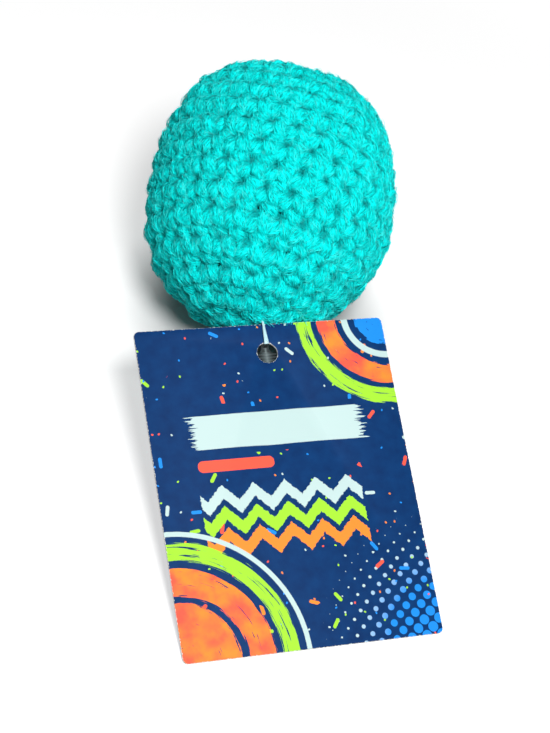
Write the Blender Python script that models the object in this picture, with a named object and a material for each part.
"""A crocheted footbag with its hang card and the plastic tag pin that joins them.

The footbag is a ball of yarn crocheted in rounds and filled with loose plastic pellets. It lies on
its side on a table. A printed card leans against it, held by a moulded pin: a bar inside the ball, a
thin filament that comes out between two stitches, and a flat paddle behind the hole in the card.

The frame has +Z up. Its origin is the middle of the flat patch on which the ball rests, +X runs along
the width of the card, and the card lies towards -Y. Lengths are in metres.
"""
import math

import bmesh
import bpy
from mathutils import Matrix, Vector

# The crocheted ball
BALL_WIDTH = 0.0541
BALL_LENGTH = 0.0619
AXIS_RISE_DEG = 25.6
AXIS_TURN_DEG = 67.8
SAG_DEPTH = 0.0012
COVER_WALL = 0.0042
DIMPLE_DEPTH = 0.0022
PRESSED_HEIGHT = 0.0050
GATHERED_RADIUS = 0.0080
CLOSING_HOLE_RADIUS = 0.0016
ROUND_STITCHES = [6, 12, 18, 24] + [30] * 9 + [24, 18, 12, 6]
DRIFT_SHARE = 0.2
POINTS_PER_STITCH = 2
BETWEEN_DIMPLES_SHARE = 0.4
BETWEEN_STITCHES_SHARE = 0.2
LINING_RINGS = 16
LINING_SIDES = 26
KNOT_SEGMENTS = 12
KNOT_LEVELS = 8
KNOT_DEPTH_SHARE = 0.67
MERIDIAN_STEPS = 2000

# The pellets
PELLET_WIDTH = 0.0044
PELLET_HEIGHT = 0.0031
PELLET_PITCH = 0.0049
PELLET_RINGS = 3
ROOM_AROUND_LAYER_SHARE = 0.29
PELLET_TILT_DEG = 9.0
PELLET_TILT_STEP = 2.4
PELLET_HEADING_STEP = 1.9
PELLET_SEGMENTS = 8
PELLET_LEVELS = 5
FILL_RINGS = 16
FILL_SIDES = 26

# The card
CARD_WIDTH = 0.0540
CARD_HEIGHT = 0.0682
CARD_THICKNESS = 0.00045
CARD_CORNER_RADIUS = 0.0011
HOLE_RADIUS = 0.0022
HOLE_DROP = 0.00635
HOLE_OFFSET = 0.0006
HOLE_SIDES = 28
CORNER_STEPS = 4

# The tag pin
PIN_HEIGHT = 0.0226
PIN_SIDE = -0.0081
EDGE_GAP = 0.0014
PIN_STAND_OFF = 0.00035
FILAMENT_RADIUS = 0.00025
SHANK_RADIUS = 0.00038
BEND_RADIUS = 0.00080
NECK_WIDTH = 0.0020
NECK_LENGTH = 0.0006
PADDLE_WIDTH = 0.0080
PADDLE_HEIGHT = 0.0040
PADDLE_THICKNESS = 0.00090
PADDLE_RIBS = 4
RIB_DEPTH = 0.00012
BAR_LENGTH = 0.0096
BAR_RADIUS = 0.00050
BAR_DEPTH = 0.0020
SECTION_SIDES = 8
BEND_STEPS = 4
ROUND_END_SHARES = (0.15, 0.57, 1.0)
RIB_SHARES = (0.15, 0.65)
RIB_VALLEY_SHARE = 0.8
BAR_ROOM_SIDES = 24

# Between neighbours
FIT_GAP = 0.0003
OVERRUN = 0.0030


def clear_scene():
    """Remove every object and leave the file itself open."""
    for old in list(bpy.data.objects):
        bpy.data.objects.remove(old, do_unlink=True)


def plain_material(name, colour, roughness, metallic=0.0):
    """A Principled material with one colour."""
    material = bpy.data.materials.new(name)
    material.use_nodes = True
    shader = material.node_tree.nodes["Principled BSDF"]
    shader.inputs["Base Color"].default_value = (*colour, 1.0)
    shader.inputs["Roughness"].default_value = roughness
    shader.inputs["Metallic"].default_value = metallic
    return material


def object_from(bm, name, material, parent=None, smooth_deg=40.0):
    """Finish a bmesh as a named object. Its mesh is in world places, so a parent shifts it back."""
    bm.normal_update()
    bmesh.ops.recalc_face_normals(bm, faces=bm.faces)
    mesh = bpy.data.meshes.new(name)
    bm.to_mesh(mesh)
    bm.free()
    mesh.materials.append(material)
    mesh.shade_smooth()
    mesh.set_sharp_from_angle(angle=math.radians(smooth_deg))
    made = bpy.data.objects.new(name, mesh)
    bpy.context.scene.collection.objects.link(made)
    if parent is not None:
        made.parent = parent
        made.matrix_parent_inverse = parent.matrix_world.inverted()
    return made


def joint_empty(name, place, parent=None):
    """An empty at a joint, which carries the pieces that the joint moves."""
    empty = bpy.data.objects.new(name, None)
    bpy.context.scene.collection.objects.link(empty)
    empty.matrix_world = Matrix.Translation(place)
    bpy.context.view_layer.update()
    if parent is not None:
        empty.parent = parent
        empty.matrix_parent_inverse = parent.matrix_world.inverted()
        bpy.context.view_layer.update()
    return empty


def smoothstep(value):
    """0 below 0, 1 above 1, and a soft step between them."""
    value = min(max(value, 0.0), 1.0)
    return value * value * (3.0 - 2.0 * value)


def frame_along(direction, across_hint):
    """Two unit vectors square to a direction, the first as near to the hint as can be."""
    direction = direction.normalized()
    across = (across_hint - direction * across_hint.dot(direction)).normalized()
    return across, direction.cross(across)


# Where the ball lies

# The line through the ball's two ends, from the closing end, which is near the card, to the starting
# end. Rounds of crochet run around it.
rise = math.radians(AXIS_RISE_DEG)
turn = math.radians(AXIS_TURN_DEG)
BALL_AXIS = Vector((math.cos(rise) * math.cos(turn), math.cos(rise) * math.sin(turn), math.sin(rise)))
BALL_ACROSS, BALL_SIDE = frame_along(BALL_AXIS, Vector((0.0, 0.0, 1.0)))
BALL_TURN = Matrix((BALL_ACROSS, BALL_SIDE, BALL_AXIS)).transposed()
BALL_RADIUS = BALL_WIDTH / 2
BALL_HALF_LENGTH = BALL_LENGTH / 2


def shape_matrix(radius, half_length):
    """The matrix whose form is 1 on an ellipsoid of revolution around the ball's axis."""
    spread = Matrix.Diagonal((radius ** 2, radius ** 2, half_length ** 2))
    return (BALL_TURN @ spread @ BALL_TURN.transposed()).inverted()


BALL_SHAPE = shape_matrix(BALL_RADIUS, BALL_HALF_LENGTH)
down_reach = BALL_SHAPE.inverted() @ Vector((0.0, 0.0, 1.0))
LOW_POINT = -down_reach / math.sqrt(down_reach.z)
BALL_CENTRE = Vector((-LOW_POINT.x, -LOW_POINT.y, -LOW_POINT.z - SAG_DEPTH))


def ball_point_at(x, z):
    """The point of the ball's front, towards -Y, at a given X and height."""
    near = Vector((x - BALL_CENTRE.x, 0.0, z - BALL_CENTRE.z))
    row = BALL_SHAPE @ near
    square = BALL_SHAPE[1][1]
    rest = near.dot(row) - 1.0
    y = (-row.y - math.sqrt(row.y ** 2 - square * rest)) / square
    return BALL_CENTRE + Vector((near.x, y, near.z))


# Where the pin and the card lie

pin_hit = ball_point_at(PIN_SIDE, PIN_HEIGHT)
PIN_OUT = (BALL_SHAPE @ (pin_hit - BALL_CENTRE)).normalized()
PIN_POINT = pin_hit + PIN_OUT * PIN_STAND_OFF
# The card leans so that its top is just in front of the pin's hole and its lower back edge is on the
# table: (height + gap) sin + (thickness + what lies on it) cos = height of the pin above the table.
front_depth = FILAMENT_RADIUS + FIT_GAP
lean_run = CARD_HEIGHT + EDGE_GAP
lean_drop = front_depth + CARD_THICKNESS
CARD_LEAN = math.asin(PIN_POINT.z / math.hypot(lean_run, lean_drop)) - math.atan2(lean_drop, lean_run)
CARD_RIGHT = Vector((1.0, 0.0, 0.0))
CARD_DOWN = Vector((0.0, -math.cos(CARD_LEAN), -math.sin(CARD_LEAN)))
CARD_FRONT = Vector((0.0, -math.sin(CARD_LEAN), math.cos(CARD_LEAN)))
HOLE_RUN = EDGE_GAP + HOLE_DROP
HOLE_CENTRE = PIN_POINT + CARD_DOWN * HOLE_RUN - CARD_FRONT * (front_depth + CARD_THICKNESS / 2)


def on_pin(right, down, out):
    """A place counted from the pin's exit: along the card's width, down its face and out of it."""
    return PIN_POINT + CARD_RIGHT * right + CARD_DOWN * down + CARD_FRONT * out


# The crocheted cover

def meridian(radius, half_length, count):
    """Points at equal steps along half an ellipse, from its starting end to its closing end.

    Each is (distance from the axis, place along the axis).
    """
    fine = MERIDIAN_STEPS
    angles = [math.pi * i / fine for i in range(fine + 1)]
    line = [(radius * math.sin(a), half_length * math.cos(a)) for a in angles]
    runs = [0.0]
    for (r0, z0), (r1, z1) in zip(line, line[1:]):
        runs.append(runs[-1] + math.hypot(r1 - r0, z1 - z0))
    points = []
    index = 0
    for step in range(count + 1):
        target = runs[-1] * step / count
        while index < fine - 1 and runs[index + 1] < target:
            index += 1
        share = (target - runs[index]) / (runs[index + 1] - runs[index])
        share = min(max(share, 0.0), 1.0)
        (r0, z0), (r1, z1) = line[index], line[index + 1]
        points.append((r0 + (r1 - r0) * share, z0 + (z1 - z0) * share))
    return points


def ball_place(radius, along, angle):
    """A point around the ball's axis, in world places."""
    return BALL_CENTRE + BALL_TURN @ Vector((radius * math.cos(angle), radius * math.sin(angle), along))


def ring_of(bm, radius, along, sides, start, depths=(0.0,)):
    """A ring of vertices around the ball's axis, with repeated depths pressed towards the centre.

    Yarn pressed against the table is flat, so the depths fade out near it. They also fade under the
    card, and where the rounds are gathered in at the two ends.
    """
    ring = []
    gather = smoothstep(radius / GATHERED_RADIUS)
    for i in range(sides):
        angle = start + math.tau * i / sides
        place = ball_place(radius, along, angle)
        inward = (BALL_CENTRE - place).normalized()
        fade = smoothstep(place.z / PRESSED_HEIGHT)
        near_pin = (place - PIN_POINT).length
        fade *= smoothstep(near_pin / PRESSED_HEIGHT)
        place = place + inward * (depths[i % len(depths)] * fade * gather)
        ring.append((bm.verts.new(place), angle))
    return ring


def join_rings(bm, first, second):
    """Fill between two rings that may have different counts, with triangles."""
    count_a = len(first)
    count_b = len(second)
    start_a = first[0][1]
    offset = min(range(count_b), key=lambda j: abs(math.remainder(second[j][1] - start_a, math.tau)))
    second = second[offset:] + second[:offset]
    slip = math.remainder(second[0][1] - start_a, math.tau)
    tie = 1e-6
    i = 0
    j = 0
    while i < count_a or j < count_b:
        next_a = math.tau * (i + 1) / count_a
        next_b = slip + math.tau * (j + 1) / count_b
        step_a = j >= count_b or (i < count_a and next_a <= next_b + tie)
        corner_a = first[i % count_a][0]
        corner_b = second[j % count_b][0]
        if step_a:
            bm.faces.new((corner_a, first[(i + 1) % count_a][0], corner_b))
            i += 1
        else:
            bm.faces.new((corner_a, second[(j + 1) % count_b][0], corner_b))
            j += 1


def close_end(bm, ring, radius, along):
    """Close a ring with a fan to one point on the axis."""
    tip = bm.verts.new(ball_place(radius, along, 0.0))
    for i in range(len(ring)):
        bm.faces.new((ring[i][0], ring[(i + 1) % len(ring)][0], tip))


def crochet_cover(material):
    """The yarn shell: rounds of stitches outside with a dimple at each, and a smooth lining inside.

    The drawn-in hole at the closing end is open, and so is the gap where the pin goes in.
    """
    bm = bmesh.new()
    rounds = len(ROUND_STITCHES)
    outer = meridian(BALL_RADIUS, BALL_HALF_LENGTH, 2 * rounds)
    rings = []
    for index, stitches in enumerate(ROUND_STITCHES):
        start = math.tau * DRIFT_SHARE * index / max(ROUND_STITCHES)
        sides = stitches * POINTS_PER_STITCH
        low_depths = (DIMPLE_DEPTH, DIMPLE_DEPTH * BETWEEN_DIMPLES_SHARE)
        high_depths = (DIMPLE_DEPTH * BETWEEN_STITCHES_SHARE, 0.0)
        radius, along = outer[2 * index + 1]
        rings.append(ring_of(bm, radius, along, sides, start, low_depths))
        if index < rounds - 1:
            radius, along = outer[2 * index + 2]
            rings.append(ring_of(bm, radius, along, sides, start, high_depths))
    hole_along = outer[-2][1]
    hole_sides = ROUND_STITCHES[-1] * POINTS_PER_STITCH
    rings.append(ring_of(bm, CLOSING_HOLE_RADIUS, hole_along, hole_sides, 0.0))

    inner_radius = BALL_RADIUS - COVER_WALL
    inner_half = BALL_HALF_LENGTH - COVER_WALL
    lining = meridian(inner_radius, inner_half, LINING_RINGS)
    lining_end_along = -inner_half * math.sqrt(1.0 - (CLOSING_HOLE_RADIUS / inner_radius) ** 2)
    rings.append(ring_of(bm, CLOSING_HOLE_RADIUS, lining_end_along, hole_sides, 0.0))
    for radius, along in reversed(lining[1:-1]):
        rings.append(ring_of(bm, radius, along, LINING_SIDES, 0.0))
    for first, second in zip(rings, rings[1:]):
        join_rings(bm, first, second)
    close_end(bm, rings[0], 0.0, BALL_HALF_LENGTH)
    close_end(bm, rings[-1], 0.0, inner_half)

    every = bm.verts[:] + bm.edges[:] + bm.faces[:]
    bmesh.ops.bisect_plane(bm, geom=every, plane_co=(0.0, 0.0, 0.0), plane_no=(0.0, 0.0, -1.0),
                           clear_outer=True)
    rim = [edge for edge in bm.edges if edge.is_boundary]
    bmesh.ops.holes_fill(bm, edges=rim, sides=0)
    cover = object_from(bm, "crochet_cover", material)
    cutter = round_bar("pin_gap_cutter", PIN_POINT + PIN_OUT * OVERRUN,
                       PIN_POINT - PIN_OUT * (COVER_WALL + OVERRUN), FILAMENT_RADIUS + FIT_GAP, material)
    cut(cover, cutter)
    return cover


def round_bar(name, start, end, radius, material, sides=SECTION_SIDES, parent=None):
    """A plain round bar between two points, with flat ends."""
    direction = (end - start).normalized()
    across, side = frame_along(direction, Vector((1.0, 0.0, 0.0)))
    bm = bmesh.new()
    rings = []
    for centre in (start, end):
        ring = []
        for i in range(sides):
            angle = math.tau * i / sides
            ring.append(bm.verts.new(centre + (across * math.cos(angle) + side * math.sin(angle)) * radius))
        rings.append(ring)
    for i in range(sides):
        j = (i + 1) % sides
        bm.faces.new((rings[0][i], rings[0][j], rings[1][j], rings[1][i]))
    bm.faces.new(rings[0])
    bm.faces.new(rings[1])
    return object_from(bm, name, material, parent)


def cut(target, cutter):
    """Take a cutter's shape out of a piece. The cutter is a guide and not a piece."""
    cutter.hide_render = True
    cutter.display_type = "WIRE"
    boolean = target.modifiers.new("cut", "BOOLEAN")
    boolean.operation = "DIFFERENCE"
    boolean.object = cutter


def closing_knot(material):
    """The yarn's end, drawn tight into a small knot that plugs the hole at the closing end."""
    half_depth = COVER_WALL * KNOT_DEPTH_SHARE / 2
    radius = CLOSING_HOLE_RADIUS * math.cos(math.pi / (ROUND_STITCHES[-1] * POINTS_PER_STITCH)) - FIT_GAP
    bm = bmesh.new()
    bmesh.ops.create_uvsphere(bm, u_segments=KNOT_SEGMENTS, v_segments=KNOT_LEVELS, radius=1.0)
    middle = -(BALL_HALF_LENGTH - COVER_WALL / 2)
    for vert in bm.verts:
        local = Vector((vert.co.x * radius, vert.co.y * radius, middle + vert.co.z * half_depth))
        vert.co = BALL_CENTRE + BALL_TURN @ local
    return object_from(bm, "closing_knot", material)


# The pellets

FILL_RADIUS = BALL_RADIUS - COVER_WALL - FIT_GAP
FILL_HALF_LENGTH = BALL_HALF_LENGTH - COVER_WALL - FIT_GAP
# The filling comes up to the height at which the hollow is wide enough for the top layer of pellets
# and a share of the room that is left around it.
LAYER_RADIUS = PELLET_RINGS * PELLET_PITCH + PELLET_WIDTH / 2
layer_room = LAYER_RADIUS + (FILL_RADIUS - LAYER_RADIUS) * ROOM_AROUND_LAYER_SHARE
fill_reach = math.sqrt(shape_matrix(FILL_RADIUS, FILL_HALF_LENGTH).inverted()[2][2])
layer_rise = fill_reach * math.sqrt(1.0 - (layer_room / FILL_RADIUS) ** 2)
FILL_LEVEL = BALL_CENTRE.z + layer_rise - PELLET_HEIGHT - FIT_GAP


def pellet_bed(material):
    """The settled pellets as one mass: the hollow's shape, level on top, with room for the pin's bar."""
    bm = bmesh.new()
    facet_share = math.cos(math.pi / LINING_SIDES) * math.cos(math.pi / (2 * LINING_RINGS))
    points = meridian(FILL_RADIUS * facet_share, FILL_HALF_LENGTH * facet_share, FILL_RINGS)
    rings = [ring_of(bm, radius, along, FILL_SIDES, 0.0) for radius, along in points[1:-1]]
    for first, second in zip(rings, rings[1:]):
        join_rings(bm, first, second)
    close_end(bm, rings[0], *points[0])
    close_end(bm, rings[-1], *points[-1])
    every = bm.verts[:] + bm.edges[:] + bm.faces[:]
    bmesh.ops.bisect_plane(bm, geom=every, plane_co=(0.0, 0.0, FILL_LEVEL), plane_no=(0.0, 0.0, 1.0),
                           clear_outer=True)
    rim = [edge for edge in bm.edges if edge.is_boundary]
    bmesh.ops.holes_fill(bm, edges=rim, sides=0)
    bed = object_from(bm, "pellet_bed", material)
    room_depth = COVER_WALL + BAR_DEPTH + BAR_RADIUS + FIT_GAP
    room_radius = BAR_LENGTH / 2 + FIT_GAP * 2
    cutter = round_bar("bar_room_cutter", PIN_POINT + PIN_OUT * OVERRUN,
                       PIN_POINT - PIN_OUT * room_depth, room_radius, material, sides=BAR_ROOM_SIDES)
    cut(bed, cutter)
    return bed


def level_centre(height):
    """The middle of the ball's level cross-section at a height."""
    rise_by = height - BALL_CENTRE.z
    flat = Matrix((BALL_SHAPE[0][:2], BALL_SHAPE[1][:2])).inverted()
    shift = flat @ Vector((BALL_SHAPE[0][2], BALL_SHAPE[1][2])) * rise_by
    return Vector((BALL_CENTRE.x - shift.x, BALL_CENTRE.y - shift.y, height))


def loose_pellets(material):
    """The top layer of pellets, each a separate lens-shaped piece lying on the bed."""
    middle = level_centre(FILL_LEVEL + PELLET_HEIGHT)
    places = [(0.0, 0.0)]
    for ring in range(1, PELLET_RINGS + 1):
        for side in range(6):
            start_angle = math.tau * side / 6
            end_angle = math.tau * (side + 1) / 6
            for step in range(ring):
                share = step / ring
                x = math.cos(start_angle) * (1.0 - share) + math.cos(end_angle) * share
                y = math.sin(start_angle) * (1.0 - share) + math.sin(end_angle) * share
                places.append((x * ring * PELLET_PITCH, y * ring * PELLET_PITCH))
    half_width = PELLET_WIDTH / 2
    half_height = PELLET_HEIGHT / 2
    for number, (x, y) in enumerate(places, start=1):
        tilt = math.radians(PELLET_TILT_DEG) * math.sin(number * PELLET_TILT_STEP)
        heading = number * PELLET_HEADING_STEP
        lowest = math.hypot(half_width * math.sin(tilt), half_height * math.cos(tilt))
        turned = Matrix.Rotation(heading, 3, "Z") @ Matrix.Rotation(tilt, 3, "X")
        centre = Vector((middle.x + x, middle.y + y, FILL_LEVEL + FIT_GAP + lowest))
        bm = bmesh.new()
        bmesh.ops.create_uvsphere(bm, u_segments=PELLET_SEGMENTS, v_segments=PELLET_LEVELS, radius=1.0)
        for vert in bm.verts:
            local = Vector((vert.co.x * half_width, vert.co.y * half_width, vert.co.z * half_height))
            vert.co = centre + turned @ local
        object_from(bm, f"pellet_{number:02d}", material, smooth_deg=80.0)


# The card

def hang_card(material, parent):
    """The printed card: a thin board with rounded corners and a round hole near its top edge."""
    half = CARD_WIDTH / 2 - CARD_CORNER_RADIUS
    corners = [
        (half, CARD_CORNER_RADIUS, -0.25),
        (half, CARD_HEIGHT - CARD_CORNER_RADIUS, 0.0),
        (-half, CARD_HEIGHT - CARD_CORNER_RADIUS, 0.25),
        (-half, CARD_CORNER_RADIUS, 0.5),
    ]
    outline = []
    for x, down, turn_share in corners:
        for step in range(CORNER_STEPS + 1):
            angle = math.tau * (turn_share + 0.25 * step / CORNER_STEPS)
            outline.append((x + CARD_CORNER_RADIUS * math.cos(angle),
                            down + CARD_CORNER_RADIUS * math.sin(angle)))
    bm = bmesh.new()
    front = [bm.verts.new(card_place(x, down, 0.0)) for x, down in outline]
    bm.faces.new(front)
    made = bmesh.ops.extrude_face_region(bm, geom=bm.faces[:])
    moved = [item for item in made["geom"] if isinstance(item, bmesh.types.BMVert)]
    bmesh.ops.translate(bm, verts=moved, vec=-CARD_FRONT * CARD_THICKNESS)
    card = object_from(bm, "hang_card", material, parent)
    cutter = round_bar("card_hole_cutter", HOLE_CENTRE + CARD_FRONT * OVERRUN,
                       HOLE_CENTRE - CARD_FRONT * OVERRUN, HOLE_RADIUS, material, HOLE_SIDES, parent)
    cut(card, cutter)
    return card


def card_place(right, down, out):
    """A place on the card: right of its middle, down from its top edge and out of its front."""
    return on_pin(right - HOLE_OFFSET, EDGE_GAP + down, out - front_depth)


# The tag pin

def pin_bar(material, parent):
    """The bar inside the ball and the filament's run through the wall, made as one."""
    inner_end = PIN_POINT - PIN_OUT * (COVER_WALL + BAR_DEPTH)
    outer_end = PIN_POINT - PIN_OUT * (FILAMENT_RADIUS + FIT_GAP)
    across, side = frame_along(PIN_OUT, Vector((1.0, 0.0, 0.0)))
    bar = round_bar("tag_pin_bar", inner_end - across * (BAR_LENGTH / 2),
                    inner_end + across * (BAR_LENGTH / 2), BAR_RADIUS, material, parent=parent)
    stem = round_bar("pin_stem_guide", inner_end, outer_end, FILAMENT_RADIUS, material, parent=parent)
    stem.hide_render = True
    stem.display_type = "WIRE"
    union = bar.modifiers.new("stem", "BOOLEAN")
    union.operation = "UNION"
    union.object = stem
    return bar


def pin_stations():
    """The outer pin's cross-sections from the ball to the paddle's end.

    Each is (down, out, direction angle, half width, half thickness): the angle is 0 along the card's
    down direction and a quarter turn into the hole.
    """
    r = FILAMENT_RADIUS
    shank = SHANK_RADIUS
    stations = []
    for share in ROUND_END_SHARES:
        angle = math.pi / 2 * share
        stations.append((-r * math.cos(angle), 0.0, 0.0, r * math.sin(angle), r * math.sin(angle)))
    bend_start = HOLE_RUN - HOLE_RADIUS - FIT_GAP / 3
    stations.append((EDGE_GAP, 0.0, 0.0, r, r))
    stations.append((bend_start, 0.0, 0.0, shank, r))
    depth = front_depth + CARD_THICKNESS + FIT_GAP + PADDLE_THICKNESS / 2
    straight = depth - 2 * BEND_RADIUS
    for step in range(1, BEND_STEPS + 1):
        angle = math.pi / 2 * step / BEND_STEPS
        stations.append((bend_start + BEND_RADIUS * math.sin(angle),
                         -BEND_RADIUS * (1 - math.cos(angle)), angle, shank, r))
    for step in range(BEND_STEPS, -1, -1):
        angle = math.pi / 2 * step / BEND_STEPS
        down = bend_start + BEND_RADIUS * (2 - math.sin(angle))
        out = -BEND_RADIUS - straight - BEND_RADIUS * math.cos(angle)
        stations.append((down, out, angle, shank, r))
    neck_down = bend_start + 2 * BEND_RADIUS
    paddle_half = PADDLE_THICKNESS / 2
    stations.append((neck_down + NECK_LENGTH / 2, -depth, 0.0, NECK_WIDTH / 2, paddle_half - RIB_DEPTH))
    top = neck_down + NECK_LENGTH
    stations.append((top, -depth, 0.0, NECK_WIDTH / 2, paddle_half - RIB_DEPTH))
    shoulder = RIB_DEPTH
    stations.append((top + shoulder, -depth, 0.0, PADDLE_WIDTH / 2, paddle_half - RIB_DEPTH))
    ribs_run = PADDLE_HEIGHT - 2 * shoulder
    for rib in range(PADDLE_RIBS):
        for share in RIB_SHARES:
            down = top + shoulder + ribs_run * (rib + share) / PADDLE_RIBS
            stations.append((down, -depth, 0.0, PADDLE_WIDTH / 2, paddle_half))
        down = top + shoulder + ribs_run * (rib + RIB_VALLEY_SHARE) / PADDLE_RIBS
        stations.append((down, -depth, 0.0, PADDLE_WIDTH / 2, paddle_half - RIB_DEPTH))
    stations.append((top + PADDLE_HEIGHT, -depth, 0.0, PADDLE_WIDTH / 2 - RIB_DEPTH, paddle_half - RIB_DEPTH))
    return stations


def pin_paddle(material, parent):
    """The pin's outer run: the filament over the card, its bend through the hole and the paddle."""
    bm = bmesh.new()
    rings = []
    corner_share = math.tan(math.pi / SECTION_SIDES)
    for down, out, angle, half_width, half_thick in pin_stations():
        centre = on_pin(0.0, down, out)
        thick_way = CARD_FRONT * math.cos(angle) + CARD_DOWN * math.sin(angle)
        cut_corner = min(half_width, half_thick) * (1.0 - corner_share)
        wide = half_width - cut_corner
        tall = half_thick - cut_corner
        outline = [
            (half_width, tall), (wide, half_thick), (-wide, half_thick), (-half_width, tall),
            (-half_width, -tall), (-wide, -half_thick), (wide, -half_thick), (half_width, -tall),
        ]
        rings.append([bm.verts.new(centre + CARD_RIGHT * x + thick_way * y) for x, y in outline])
    for first, second in zip(rings, rings[1:]):
        for i in range(SECTION_SIDES):
            j = (i + 1) % SECTION_SIDES
            bm.faces.new((first[i], first[j], second[j], second[i]))
    bm.faces.new(rings[0])
    bm.faces.new(rings[-1])
    return object_from(bm, "tag_pin_paddle", material, parent)


clear_scene()
yarn = plain_material("yarn", (0.0, 0.66, 0.60), 0.85)
pellet_plastic = plain_material("pellet_plastic", (0.80, 0.82, 0.80), 0.40)
board = plain_material("printed_card", (0.012, 0.035, 0.13), 0.45)
clear_plastic = plain_material("clear_plastic", (0.80, 0.88, 0.90), 0.30)

swivel_joint = joint_empty("pin_swivel_joint", PIN_POINT)
tilt_joint = joint_empty("pin_tilt_joint", PIN_POINT, swivel_joint)
swing_joint = joint_empty("card_swing_joint", HOLE_CENTRE, tilt_joint)

crochet_cover(yarn)
closing_knot(yarn)
pellet_bed(pellet_plastic)
loose_pellets(pellet_plastic)
pin_bar(clear_plastic, swivel_joint)
pin_paddle(clear_plastic, tilt_joint)
hang_card(board, swing_joint)

for label, value in (("ball centre", BALL_CENTRE), ("pin point", PIN_POINT), ("pin out", PIN_OUT),
                     ("hole centre", HOLE_CENTRE), ("card front", CARD_FRONT)):
    print(label, [round(number, 6) for number in value])
print("card lean", round(math.degrees(CARD_LEAN), 2), "degrees")
